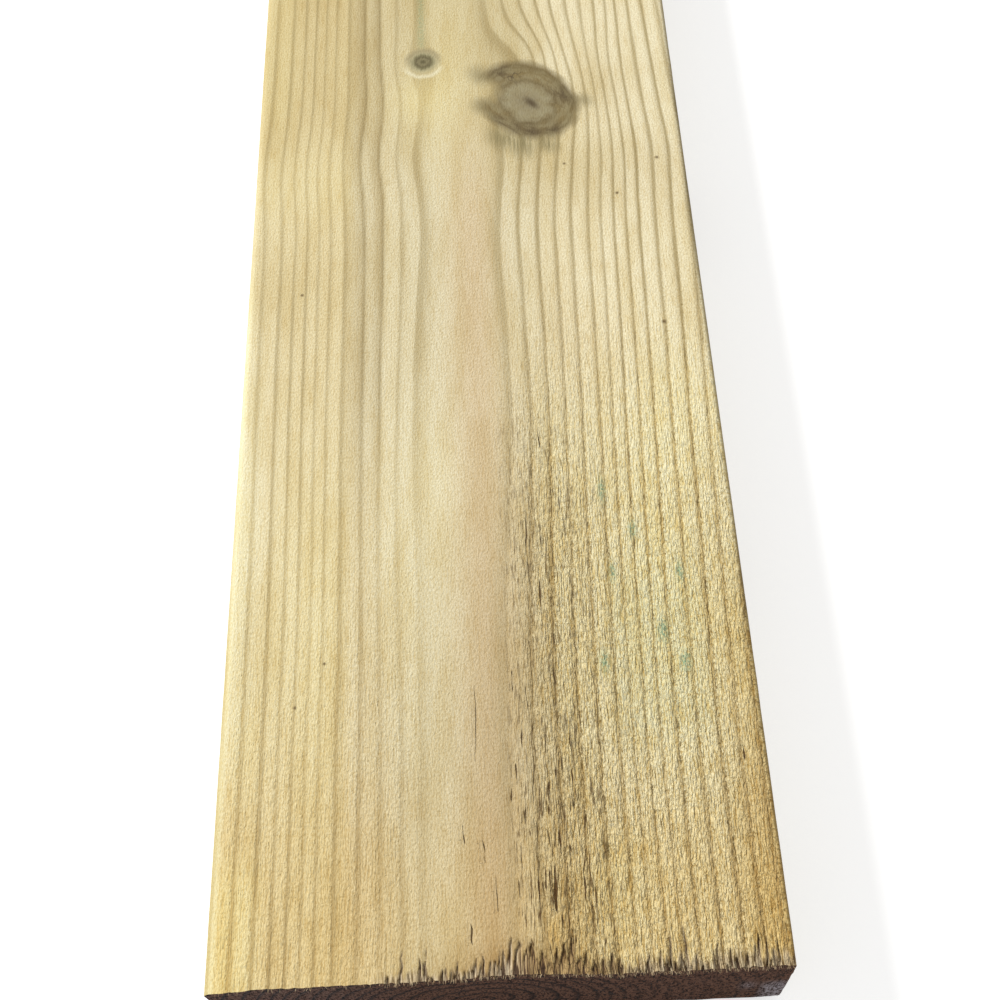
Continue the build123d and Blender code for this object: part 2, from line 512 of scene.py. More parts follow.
def row_places():
    """Places along the grain where the mesh has a row of vertices, and each row's level."""
    torn = np.arange(*TORN_ROWS)
    shown = np.concatenate([np.arange(*rows) for rows in SHOWN_ROWS])
    far = SHOWN_LENGTH + (LENGTH - SHOWN_LENGTH) * np.linspace(0.0, 1.0, FAR_ROWS) ** FAR_STRETCH
    levels = np.repeat((0, 1, 2), (len(torn), len(shown), len(far)))
    return np.concatenate((torn, shown, far)), levels


def strip_for(side, g):
    """Left and right edge of the strip that a long side takes here, and the lengths at its foot and head."""
    if side == FACE:
        return next(strip for strip in FACE_STRIPS if g < strip[3])
    return (*SIDE_STRIPS[side], 0.0, LENGTH)


def long_sides(columns, places, levels, kept, first):
    """Faces between the rows, and each corner's place on the baked picture. Where the next row has fewer
    columns, a face takes in all the columns that it spans."""
    spans = np.hypot(*np.diff(np.vstack((columns[:, :2], columns[:1, :2])), axis=0).T)
    travelled = np.concatenate(([0.0], np.cumsum(spans)))
    side_starts = [travelled[np.argmax(columns[:, 5] == side)] for side in range(4)] + [travelled[-1]]
    faces, corners = [], []
    for row in range(len(places) - 1):
        here, there = kept[levels[row]], kept[levels[row + 1]]
        spots = np.append(np.searchsorted(here, there), len(here))
        for index, column in enumerate(there):
            near = list(range(spots[index], spots[index + 1] + 1))
            far = [(index + 1) % len(there), index]
            faces.append([first[row] + i % len(here) for i in near] + [first[row + 1] + i for i in far])
            side = int(columns[column, 5])
            left, right, foot, head = strip_for(side, (places[row] + places[row + 1]) / 2)
            around = [here[i] if i < len(here) else len(columns) for i in near]
            turns = [(turn, places[row]) for turn in around]
            turns += [(turn, places[row + 1]) for turn in (around[-1], around[0])]
            for turn, g in turns:
                across = (travelled[turn] - side_starts[side]) / (side_starts[side + 1] - side_starts[side])
                up = STRIP_FOOT + STRIP_HEIGHT * (g - foot) / (head - foot)
                corners.append((left + (right - left) * across, up))
    return faces, corners


def places_in_end(spacing, seed):
    """Places inside the outline of a sawn end, about evenly apart and clear of its edge and its tears."""
    rng = np.random.default_rng(seed)
    x, z = np.meshgrid(np.arange(-WIDTH / 2, WIDTH / 2, spacing), np.arange(0.0, THICKNESS, spacing))
    x = x.ravel() + rng.uniform(-END_JITTER, END_JITTER, x.size) * spacing
    z = z.ravel() + rng.uniform(-END_JITTER, END_JITTER, z.size) * spacing
    margin = END_MARGIN * spacing
    past_x = np.maximum(np.abs(x) - WIDTH / 2 + ARRIS, 0.0)
    past_z = np.maximum(np.abs(z - THICKNESS / 2) - THICKNESS / 2 + ARRIS, 0.0)
    torn_out = TEAR_MARGIN * STRIP_DEPTH * torn_edge(x, 0.0 * x)[0]
    inside = (np.hypot(past_x, past_z) < ARRIS - margin) & (z < THICKNESS - margin - torn_out)
    return x[inside], z[inside]


def build_board(planed, sawn):
    """The whole board as one closed mesh, with the sawn ends in their own material."""
    columns = section()
    places, levels = row_places()
    kept = [np.flatnonzero(columns[:, 4] >= level) for level in range(3)]
    rows = [columns[kept[level]] for level in levels]
    first = np.concatenate(([0], np.cumsum([len(row) for row in rows])))
    x, z, out_x, out_z = np.concatenate(rows)[:, :4].T
    g = np.repeat(places, [len(row) for row in rows])
    faces, corners = long_sides(columns, places, levels, kept, first)
    sides = len(faces)

    # The relief stands the way each column faces, and stays inside the planed size at the sides and below
    facing_up = fade(out_z, 0.6, 1.0)
    relief = np.minimum(face_relief(x, g, ring_number(x, g, z)), HIGHEST_GRAIN)
    planer_marks = PLANER_MARKS * (rough((x + z) / 1.4, g / 9.0, 10) - 1.0)
    relief = facing_up * relief + (1.0 - facing_up) * planer_marks
    made_x, made_z = x + out_x * relief, z + out_z * relief
    by_end = np.clip(1.0 - g / CUT_REACH, 0.0, 1.0) - np.clip(1.0 - (LENGTH - g) / CUT_REACH, 0.0, 1.0)
    made_g = g + sawn_relief(made_x, made_z) * by_end

    # The sawn ends are filled with triangles over the outline of the first and the last row
    for end, row in enumerate((0, len(places) - 1)):
        edge = np.arange(first[row], first[row + 1])
        inner_x, inner_z = places_in_end(END_SPACINGS[end], 11 + end)
        end_x = np.concatenate((made_x[edge], inner_x))
        end_z = np.concatenate((made_z[edge], inner_z))
        outline = list(range(len(edge)))[::-1]
        filled = delaunay_2d_cdt(list(zip(end_x, end_z)), [], [outline], 1, 1e-6)
        triangles, sources = filled[2], filled[3]
        numbers = np.concatenate((edge, len(made_x) + np.arange(len(inner_x))))
        inward = sawn_relief(inner_x, inner_z) * (1.0, -1.0)[end]
        made_x, made_z = np.concatenate((made_x, inner_x)), np.concatenate((made_z, inner_z))
        made_g = np.concatenate((made_g, places[row] + inward))
        x, z = np.concatenate((x, inner_x)), np.concatenate((z, inner_z))
        g = np.concatenate((g, np.full(len(inner_x), places[row])))
        for triangle in triangles:
            spots = [sources[i][0] for i in (triangle if end == 0 else triangle[::-1])]
            faces.append([int(numbers[i]) for i in spots])
            for i in spots:
                across = END_STRIP[0] + (END_STRIP[1] - END_STRIP[0]) * end_z[i] / THICKNESS
                corners.append((across, END_FEET[end] + END_HEIGHT * (end_x[i] / WIDTH + 0.5)))

    mesh = bpy.data.meshes.new("board")
    placed = np.stack((made_x + MIDDLE, made_g + PHOTOGRAPHED_END, made_z + UNDERSIDE), axis=1) * MM
    mesh.from_pydata(placed.tolist(), [], faces)
    mesh.materials.append(planed)
    mesh.materials.append(sawn)
    mesh.polygons.foreach_set("material_index", (np.arange(len(faces)) >= sides).astype(np.int32))
    mesh.uv_layers.new(name="OFBake").data.foreach_set("uv", np.array(corners, dtype=np.float32).ravel())
    mesh.shade_smooth()
    keep_sawn_edges_crisp(mesh)
    for name, values in growth_and_wear(x, g, z).items():
        layer = mesh.attributes.new(name, "FLOAT_VECTOR", "POINT")
        layer.data.foreach_set("vector", np.stack(values, axis=1).astype(np.float32).ravel())
    return show("board", mesh)


def keep_sawn_edges_crisp(mesh):
    """Marks the edges between a long side and a sawn end as sharp, by the materials on their two sides."""
    meets = np.zeros((len(mesh.edges), 2), dtype=bool)
    for polygon in mesh.polygons:
        for loop in polygon.loop_indices:
            meets[mesh.loops[loop].edge_index, polygon.material_index] = True
    sharp = mesh.attributes.new("sharp_edge", "BOOLEAN", "EDGE")
    sharp.data.foreach_set("value", meets.all(axis=1))


def show(name, mesh):
    """Puts a mesh into the scene as an object at the origin."""
    piece = bpy.data.objects.new(name, mesh)
    bpy.context.scene.collection.objects.link(piece)
    return piece


# Materials
PINE_IOR = 1.45


def linear(code):
    """A colour written as sRGB hex, as the linear values that Blender takes."""
    parts = [int(code[i:i + 2], 16) / 255.0 for i in (1, 3, 5)]
    return [p / 12.92 if p <= 0.04045 else ((p + 0.055) / 1.055) ** 2.4 for p in parts] + [1.0]


def per_mm(x, y, z):
    """The Mapping scale at which one unit of a pattern has these sizes in millimetres."""
    return (1.0 / (x * MM), 1.0 / (y * MM), 1.0 / (z * MM))


def set_inputs(node, inputs):
    """Sets inputs of a node by name or number: to a value, an output, or the first output of a node."""
    for name, value in inputs.items():
        if isinstance(name, str):
            socket = next(s for s in node.inputs if s.enabled and s.name == name)
        else:
            socket = node.inputs[name]
        if isinstance(value, bpy.types.Node):
            value = next(output for output in value.outputs if output.enabled)
        if isinstance(value, bpy.types.NodeSocket):
            node.id_data.links.new(value, socket)
        else:
            socket.default_value = value


def add_node(tree, kind, inputs=None, stops=(), **settings):
    """One node, its settings and its inputs. A ramp's stops are positions with a hex colour or a grey."""
    node = tree.nodes.new(kind)
    for name, value in settings.items():
        setattr(node, name, value)
    set_inputs(node, inputs or {})
    for index, (position, value) in enumerate(stops):
        ramp = node.color_ramp.elements
        stop = ramp[index] if index < 2 else ramp.new(position)
        stop.position = position
        stop.color = linear(value) if isinstance(value, str) else (value, value, value, 1.0)
    return node


def start_material(name):
    """A new material, its shader, and add_node for its tree."""
    material = bpy.data.materials.new(name)
    material.use_nodes = True
    return material, material.node_tree.nodes["Principled BSDF"], partial(add_node, material.node_tree)


def vertex_values(add, name):
    """The three values that the board's vertices carry under this name."""
    attribute = add("ShaderNodeAttribute", attribute_name=name).outputs["Vector"]
    return add("ShaderNodeSeparateXYZ", {"Vector": attribute}).outputs


def near_places(add, spot, places):
    """How close a spot is to the nearest of some round places, each with its middle and its reach: 1 in the
    middle and 0 out of reach."""
    closest = None
    for x, y, reach in places:
        away = add("ShaderNodeVectorMath", {0: spot, 1: (x, y, 0.0)}, operation="DISTANCE").outputs["Value"]
        close = add("ShaderNodeMapRange", {
            "Value": away, "From Min": reach, "From Max": 0.0}, interpolation_type="SMOOTHSTEP")
        if closest is not None:
            close = add("ShaderNodeMath", {0: closest, 1: close}, operation="MAXIMUM")
        closest = close
    return closest


def thick_knot(add, along, aside, bundles):
    """The layers of the thick branch: a grey-brown eye with a long pale core and a slash of pith. Its dark
    rim is broken at the upper left, and dark wood strays out past it. Places are in the knot's own axes,
    with its rim 1 from its middle."""
    spot = add("ShaderNodeCombineXYZ", {"X": along, "Y": aside})
    away = add("ShaderNodeVectorMath", {0: spot}, operation="LENGTH").outputs["Value"]
    angle = add("ShaderNodeMath", {0: aside, 1: along}, operation="ARCTAN2")
    round_knot = add("ShaderNodeCombineXYZ", {"X": away, "Y": angle})
    grain = []
    for scale, detail in (((6.5, 2.4, 1.0), 3.0), ((1.6, 1.4, 1.0), 2.0)):
        mapping = add("ShaderNodeMapping", {"Vector": round_knot, "Scale": scale})
        grain.append(add("ShaderNodeTexNoise", {
            "Vector": mapping, "Scale": 1.0, "Detail": detail, "Roughness": 0.6}, noise_dimensions="2D"))
    streaks, lobes = grain
    lobed = add("ShaderNodeMapRange", {"Value": lobes, "To Min": -0.1, "To Max": 0.1})
    streaky = add("ShaderNodeMapRange", {"Value": streaks, "To Min": -0.08, "To Max": 0.08})
    rim = away
    core = add("ShaderNodeVectorMath", {0: spot, 1: (0.05, -0.07, 0.0)}, operation="DISTANCE")
    core = core.outputs["Value"]
    for uneven in (lobed, streaky):
        rim = add("ShaderNodeMath", {0: rim, 1: uneven}, operation="ADD")
        core = add("ShaderNodeMath", {0: core, 1: uneven}, operation="ADD")

    # Wood of the eye, with worn streaks outside its core
    body = add("ShaderNodeValToRGB", {"Fac": core}, stops=(
        (0.0, "#8b7f60"), (1.0, "#82734c"), (0.25, "#9c906e"), (0.4, "#a09572"), (0.5, "#938663"),
        (0.57, "#82744f"), (0.66, "#93855f"), (0.78, "#958760"), (0.9, "#8a7c55")))
    worn = add("ShaderNodeMapRange", {"Value": streaks, "From Min": 0.35, "From Max": 0.65})
    outer = add("ShaderNodeMapRange", {"Value": core, "From Min": 0.45, "From Max": 0.7, "To Min": 0.5})
    worn = add("ShaderNodeMath", {0: worn, 1: outer}, operation="MULTIPLY")

    # Dark marks: lined places at the rim, creases and the slash of pith
    dark = near_places(add, spot, (
        (0.35, 0.76, 0.5), (-0.9, 0.1, 0.4), (0.68, -0.6, 0.45), (0.95, -0.2, 0.45), (0.4, -0.82, 0.36),
        (0.1, -0.95, 0.32)))
    lines = add("ShaderNodeMapRange", {
        "Value": streaks, "From Min": 0.4, "From Max": 0.6, "To Min": 0.35, "To Max": 0.85})
    dark = add("ShaderNodeMath", {0: dark, 1: lines}, operation="MULTIPLY")
    creased = add("ShaderNodeMath", {0: lobes, 1: 0.5}, operation="SUBTRACT")
    creased = add("ShaderNodeMath", {0: creased}, operation="ABSOLUTE")
    creased = add("ShaderNodeMapRange", {"Value": creased, "From Min": 0.022, "From Max": 0.006})
    by_rim = near_places(add, spot, ((0.3, 0.65, 0.55), (-0.7, 0.2, 0.4)))
    creased = add("ShaderNodeMath", {0: creased, 1: by_rim}, operation="MULTIPLY")
    slash = add("ShaderNodeVectorMath", {0: spot, 1: (1.0, 1.8, 0.0)}, operation="MULTIPLY")
    slash = near_places(add, slash, ((0.12, -0.02, 0.27),))
    for mark in (creased, slash):
        dark = add("ShaderNodeMath", {0: dark, 1: mark}, operation="MAXIMUM")
    for amount, tone, blend in ((worn, "#e3d9c0", "MULTIPLY"), (dark, "#54452a", "MIX")):
        body = add("ShaderNodeMix", {
            "Factor": amount, "A": body, "B": linear(tone)}, data_type="RGBA", blend_type=blend)

    # Where the eye covers the board, and what strays out past its rim
    cover = add("ShaderNodeMapRange", {"Value": rim, "From Min": 1.12, "From Max": 0.92})
    broken = near_places(add, spot, ((-0.72, -0.6, 0.56), (-0.98, -0.9, 0.6)))
    broken = add("ShaderNodeMath", {0: streaky, 1: 3.0, 2: broken}, operation="MULTIPLY_ADD")
    whole = add("ShaderNodeMapRange", {"Value": broken, "From Min": 0.75, "From Max": 0.1})
    cover = add("ShaderNodeMath", {0: cover, 1: whole}, operation="MULTIPLY")
    stray = near_places(add, spot, ((0.75, -1.0, 0.55), (0.45, -1.2, 0.5), (1.05, -0.55, 0.4)))
    wisps = add("ShaderNodeMapRange", {"Value": bundles, "From Min": 0.36, "From Max": 0.6, "To Min": 0.5})
    wisps = add("ShaderNodeMath", {0: stray, 1: wisps}, operation="MULTIPLY")
    smear = near_places(add, spot, ((-1.02, -0.32, 0.44), (-0.4, -0.95, 0.36), (0.68, 0.94, 0.3)))
    smear = add("ShaderNodeMath", {0: smear, 1: 0.65}, operation="MULTIPLY")
    return [(wisps, "#8e8157"), (smear, "#8a7d56"), (cover, body)]


def small_knot(add, along, aside, dashes):
    """The layers of the twig: a dark core inside a soft grey ring, under a darker brow and over a pale
    crescent, which are arcs with a radius and a reach that fade in along the twig's axis."""
    spot = add("ShaderNodeCombineXYZ", {"X": along, "Y": aside})
    away = add("ShaderNodeVectorMath", {0: spot}, operation="LENGTH").outputs["Value"]
    uneven = add("ShaderNodeMapRange", {"Value": dashes, "To Min": -0.1, "To Max": 0.1})
    away = add("ShaderNodeMath", {0: away, 1: uneven}, operation="ADD")
    body = add("ShaderNodeValToRGB", {"Fac": away}, stops=(
        (0.0, "#5d5433"), (1.0, "#cfc59d"), (0.12, "#6a613f"), (0.2, "#857b57"), (0.28, "#827854"),
        (0.37, "#6b6140"), (0.5, "#7e7550"), (0.62, "#a69d76"), (0.74, "#b9b088")))
    layers = [(add("ShaderNodeMapRange", {"Value": away, "From Min": 1.05, "From Max": 0.6}), body)]
    for radius, reach, start, full, most, tone in (
            (0.86, 0.3, -0.45, 0.35, 0.6, "#978862"), (1.1, 0.2, -0.25, -0.7, 0.7, "#f2eac6")):
        arc = add("ShaderNodeMath", {0: away, 1: radius}, operation="SUBTRACT")
        arc = add("ShaderNodeMath", {0: arc}, operation="ABSOLUTE")
        arc = add("ShaderNodeMapRange", {"Value": arc, "From Min": reach, "From Max": 0.02})
        side = add("ShaderNodeMapRange", {
            "Value": along, "From Min": start, "From Max": full, "To Max": most})
        layers.append((add("ShaderNodeMath", {0: arc, 1: side}, operation="MULTIPLY"), tone))
    return layers


def planed_treated_pine():
    """Pine planed on four sides and pressure treated: matt, pale wood with a greenish cast, fine grey-brown
    lines where each year's growth ends, grey-brown knots, and woolly, dark-lined wood where the planer tore
    it."""
    material, shader, add = start_material("planed treated pine")
    ring, contrast, gold = vertex_values(add, "growth")
    torn, checked, dirt = vertex_values(add, "wear")
    shaded, frayed, _ = vertex_values(add, "edge")
    warm, copper, grey = vertex_values(add, "stains_and_arris_shade")
    crack_distance, crack_half_width, pale = vertex_values(add, "cracks")
    branch_along, branch_aside, shade = vertex_values(add, "branch")
    twig_along, twig_aside, tan = vertex_values(add, "twig")

    # Patterns on the unrolled surface: round the section by along the grain, in millimetres.
    # Single lifted fibres are finer than the render shows, so the wool is drawn in tufts.
    axes = add("ShaderNodeSeparateXYZ", {"Vector": add("ShaderNodeTexCoord").outputs["Object"]}).outputs
    girth = add("ShaderNodeMath", {0: axes["X"], 1: axes["Z"]}, operation="ADD")
    unrolled = add("ShaderNodeCombineXYZ", {"X": girth, "Y": axes["Y"]})
    patterns = {"bundles": (1.2, 22.0), "fibres": (0.5, 7.0), "mottle": (6.0, 36.0), "dashes": (1.1, 5.0),
                "wool": (0.6, 1.0), "grit": (0.35, 0.8)}
    for name, size in patterns.items():
        mapping = add("ShaderNodeMapping", {"Vector": unrolled, "Scale": per_mm(*size, 1.0)})
        patterns[name] = add("ShaderNodeTexNoise", {
            "Vector": mapping, "Scale": 1.0, "Detail": 1.0, "Roughness": 0.68}, noise_dimensions="2D")
    bundles, fibres, mottle, dashes, wool, grit = patterns.values()
    cells = add("ShaderNodeMapping", {"Vector": unrolled, "Scale": per_mm(0.5, 2.2, 1.0)})
    cells = add("ShaderNodeVectorMath", {0: wool, 1: (1.8, 1.0, 0.0), 2: cells}, operation="MULTIPLY_ADD")
    tufts = add("ShaderNodeTexVoronoi", {"Vector": cells, "Scale": 1.0}, voronoi_dimensions="2D")

    # Year lines: the wood darkens slowly up to each whole ring number and is pale again soon after it.
    # Torn wood breaks them up.
    ripple = add("ShaderNodeMapRange", {"Value": bundles, "To Min": 0.44, "To Max": 0.56})
    wander = add("ShaderNodeMapRange", {"Value": wool, "To Min": -0.14, "To Max": 0.14})
    ripple = add("ShaderNodeMath", {0: wander, 1: torn, 2: ripple}, operation="MULTIPLY_ADD")
    rippled = add("ShaderNodeMath", {0: ring, 1: ripple}, operation="ADD")
    in_year = add("ShaderNodeMath", {0: rippled}, operation="FRACT")
    year = add("ShaderNodeMath", {0: rippled}, operation="FLOOR")
    line = add("ShaderNodeValToRGB", {"Fac": in_year}, stops=(
        (0.0, 0.0), (1.0, 0.0), (0.08, 0.04), (0.22, 0.14), (0.32, 0.45), (0.4, 0.88), (0.46, 1.0),
        (0.52, 0.85), (0.57, 0.35), (0.62, 0.04)))
    ridge = add("ShaderNodeValToRGB", {"Fac": in_year}, stops=(
        (0.0, 0.92), (1.0, 0.92), (0.28, 0.8), (0.43, 0.45), (0.5, 0.0), (0.54, 0.2), (0.66, 0.95),
        (0.8, 1.0)))
    chance = add("ShaderNodeTexWhiteNoise", {"W": year}, noise_dimensions="1D")
    by_year = add("ShaderNodeMapRange", {"Value": chance, "To Min": 0.8, "To Max": 1.1})
    by_fibre = add("ShaderNodeMapRange", {
        "Value": fibres, "From Min": 0.3, "From Max": 0.7, "To Min": 0.8, "To Max": 1.1})
    for strength in (by_year, by_fibre, contrast):
        line = add("ShaderNodeMath", {0: line, 1: strength}, operation="MULTIPLY", use_clamp=True)

    # Pale sapwood, golden on the left, round greener heartwood that turns tan at its middle
    heartwood = add("ShaderNodeMapRange", {"Value": ring, "From Min": 9.0, "From Max": 6.5})
    early = linear("#fbf1ce")
    for amount, wood in ((gold, "#f4e6ba"), (heartwood, "#efe5c2"), (tan, "#e4d1ab")):
        early = add("ShaderNodeMix", {"Factor": amount, "A": early, "B": linear(wood)}, data_type="RGBA")
    late = add("ShaderNodeMix", {
        "Factor": torn, "A": linear("#b9a97c"), "B": linear("#ad9560")}, data_type="RGBA")
    colour = add("ShaderNodeMix", {"Factor": line, "A": early, "B": late}, data_type="RGBA")

    # Streaks, clouds, pits and fine grit in the wood, and copper salts left in its pores
    streaks = add("ShaderNodeMapRange", {"Value": fibres, "From Min": 0.5, "From Max": 0.3})
    cloudy = add("ShaderNodeMapRange", {"Value": mottle, "From Min": 0.6, "From Max": 0.3})
    pits = add("ShaderNodeMapRange", {"Value": wool, "From Min": 0.46, "From Max": 0.3})
    sandy = add("ShaderNodeMapRange", {"Value": grit, "From Min": 0.62, "From Max": 0.32})
    # In torn wood the pits and streaks darken where the bump is low: painted shade in its hollows
    torn_pits, torn_streaks, ridged, tufted, fibrous = (
        add("ShaderNodeMath", {0: pattern, 1: torn}, operation="MULTIPLY")
        for pattern in (pits, streaks, ridge, tufts, fibres))
    speckle = add("ShaderNodeMapRange", {
        "Value": wool, "From Min": 0.35, "From Max": 0.6, "To Min": 0.2, "To Max": 0.95})
    green = add("ShaderNodeMath", {0: copper, 1: speckle}, operation="MULTIPLY")

    # Fine drying splits wander along the grain and break off, dashes darken the year lines of torn wood, and
    # open cracks are dark brown. The dark colour of the splits and cracks is painted shade inside them.
    split = add("ShaderNodeMath", {0: bundles, 1: 0.5}, operation="SUBTRACT")
    split = add("ShaderNodeMath", {0: split}, operation="ABSOLUTE")
    split = add("ShaderNodeMapRange", {"Value": split, "From Min": 0.048, "From Max": 0.014})
    whole = add("ShaderNodeMapRange", {"Value": dashes, "From Min": 0.42, "From Max": 0.53})
    for share in (whole, checked):
        split = add("ShaderNodeMath", {0: split, 1: share}, operation="MULTIPLY")
    on_line = add("ShaderNodeMapRange", {"Value": line, "From Min": 0.4, "From Max": 0.8})
    on_line = add("ShaderNodeMath", {0: on_line, 1: torn}, operation="MULTIPLY")
    on_line = add("ShaderNodeMath", {
        0: checked, 1: 0.4, 2: on_line}, operation="MULTIPLY_ADD", use_clamp=True)
    dash = add("ShaderNodeMapRange", {"Value": fibres, "From Min": 0.57, "From Max": 0.65})
    dash = add("ShaderNodeMath", {0: dash, 1: on_line}, operation="MULTIPLY")
    apart = add("ShaderNodeMath", {0: crack_distance}, operation="ABSOLUTE")
    within = add("ShaderNodeMath", {0: crack_half_width, 1: apart}, operation="SUBTRACT")
    opened = add("ShaderNodeMapRange", {"Value": within, "From Min": -0.06, "From Max": 0.12})
    in_mm = add("ShaderNodeMapping", {"Vector": unrolled, "Scale": per_mm(1.0, 1.0, 1.0)})
    specks = near_places(add, in_mm, [
        (MIDDLE + x + UNDERSIDE + THICKNESS, PHOTOGRAPHED_END + g, reach) for x, g, reach in RESIN_SPECKS])

    # The frayed edge: pale and brown strands down to the sawn end, with dark slits between them, and shade
    # painted at the left side and the tip of each torn-out strip
    strands = add("ShaderNodeValToRGB", {"Fac": fibres}, stops=(
        (0.4, "#533d28"), (0.59, "#dac6a2"), (0.47, "#a88f6c")))
    strands = add("ShaderNodeMix", {
        "Factor": checked, "A": strands, "B": linear("#dccba8")}, data_type="RGBA", blend_type="MULTIPLY")

    # Tones that multiply the wood's colour, then its pale places, which also hold a painted sheen and the
    # highlight painted on the left arris, then marks and knots that cover it: how much of each shows, and its
    # colour
    tones = (
        (cloudy, "#f6f2e8"), (streaks, "#f5f0e5"), (sandy, "#ece5d5"), (torn, "#fffaed"),
        # The grey tone also paints shade on the right arris
        (torn_pits, "#ebe2ce"), (torn_streaks, "#eae1cb"), (grey, "#d3cdbf"), (shade, "#efeadb"),
        (warm, "#fdedca"), (dirt, "#c8b692"))
    marks = [
        (green, "#82a680"), (dash, "#7a6234"), (split, "#5c421a"), (opened, "#5c3f14"), (specks, "#6f5934"),
        (frayed, strands), (shaded, "#3d2a19")]
    marks += thick_knot(add, branch_along, branch_aside, bundles)
    marks += small_knot(add, twig_along, twig_aside, dashes)
    layers = [("MULTIPLY", *tone) for tone in tones] + [("SOFT_LIGHT", pale, "#f2ecd8")]
    layers += [("MIX", *mark) for mark in marks]
    for blend, amount, tone in layers:
        tone = linear(tone) if isinstance(tone, str) else tone
        colour = add("ShaderNodeMix", {
            "Factor": amount, "A": colour, "B": tone}, data_type="RGBA", blend_type=blend)

    # Heights in millimetres
    height = add("ShaderNodeMath", {0: wool, 1: 0.2}, operation="MULTIPLY")
    for pattern, most in ((ridged, 0.22), (tufted, -0.44), (fibrous, 0.48), (opened, -0.4)):
        height = add("ShaderNodeMath", {0: pattern, 1: most, 2: height}, operation="MULTIPLY_ADD")
    bump = add("ShaderNodeBump", {"Height": height, "Distance": MM, "Strength": 1.0})
    set_inputs(shader, {"Base Color": colour, "Normal": bump, "Roughness": 0.78, "IOR": PINE_IOR})
    return material


def sawn_end_grain():
    """The same pine cut across by a coarse saw: dark, thirsty, fuzzy end grain with the year rings as arches,
    matted at the right, and one pale scuffed corner."""
    material, shader, add = start_material("sawn pine end grain")
    ring = vertex_values(add, "growth")[0]
    scuffed = vertex_values(add, "edge")[2]
    place = add("ShaderNodeTexCoord").outputs["Object"]
    tufts = add("ShaderNodeMapping", {"Vector": place, "Scale": per_mm(0.6, 0.6, 1.5)})
    fuzz = add("ShaderNodeTexNoise", {"Vector": tufts, "Scale": 1.0, "Detail": 3.0, "Roughness": 0.65})
    ripple = add("ShaderNodeMapRange", {"Value": fuzz, "To Min": 0.46, "To Max": 0.54})
    rippled = add("ShaderNodeMath", {0: ring, 1: ripple}, operation="ADD")
    in_year = add("ShaderNodeMath", {0: rippled}, operation="FRACT")
    line = add("ShaderNodeValToRGB", {"Fac": in_year}, stops=(
        (0.0, 0.0), (1.0, 0.0), (0.25, 0.15), (0.44, 0.9), (0.5, 1.0), (0.62, 0.1)))
    across = add("ShaderNodeSeparateXYZ", {"Vector": place}).outputs["X"]
    matted = add("ShaderNodeMapRange", {
        "Value": across, "From Min": (MIDDLE + 18.0) * MM, "From Max": (MIDDLE + 42.0) * MM,
        "To Min": 1.0, "To Max": 0.4})
    line = add("ShaderNodeMath", {0: line, 1: matted}, operation="MULTIPLY")
    pits = add("ShaderNodeMapRange", {"Value": fuzz, "From Min": 0.53, "From Max": 0.41})
    patchy = add("ShaderNodeMapRange", {"Value": fuzz, "From Min": 0.42, "From Max": 0.58})
    patchy = add("ShaderNodeMath", {0: patchy, 1: scuffed}, operation="MULTIPLY")
    colour = linear("#866352")
    for amount, tone, blend in (
            (line, "#251813", "MIX"), (pits, "#3f2e25", "MULTIPLY"), (patchy, "#d6ccd3", "MIX")):
        colour = add("ShaderNodeMix", {
            "Factor": amount, "A": colour, "B": linear(tone)}, data_type="RGBA", blend_type=blend)
    height = add("ShaderNodeMath", {0: fuzz, 1: 0.6}, operation="MULTIPLY")
    bump = add("ShaderNodeBump", {"Height": height, "Distance": MM, "Strength": 1.0})
    set_inputs(shader, {
        "Base Color": colour, "Normal": bump, "Roughness": 0.9, "Specular IOR Level": 0.15, "IOR": PINE_IOR})
    return material


def torn_pine_fibres():
    """Loose bundles of pine fibre: pale, dry and matt straw, a little uneven in tone."""
    material, shader, add = start_material("torn pine fibres")
    place = add("ShaderNodeTexCoord").outputs["Object"]
    bundles = add("ShaderNodeMapping", {"Vector": place, "Scale": per_mm(1.5, 4.0, 1.5)})
    tone = add("ShaderNodeTexNoise", {"Vector": bundles, "Scale": 1.0, "Detail": 1.0})
    colour = add("ShaderNodeValToRGB", {"Fac": tone}, stops=((0.35, "#86694a"), (0.65, "#cfb994")))
    set_inputs(shader, {"Base Color": colour, "Roughness": 0.85, "IOR": PINE_IOR})
    return material


# Loose fibres
FIBRE_ROOTS = 800
FIBRE_INPUTS = {
    "Roots": "Geometry", "Length": "Float", "Width": "Float", "Flatness": "Float", "Least Turn": "Vector",
    "Most Turn": "Vector", "Seed": "Int", "Material": "Material"}


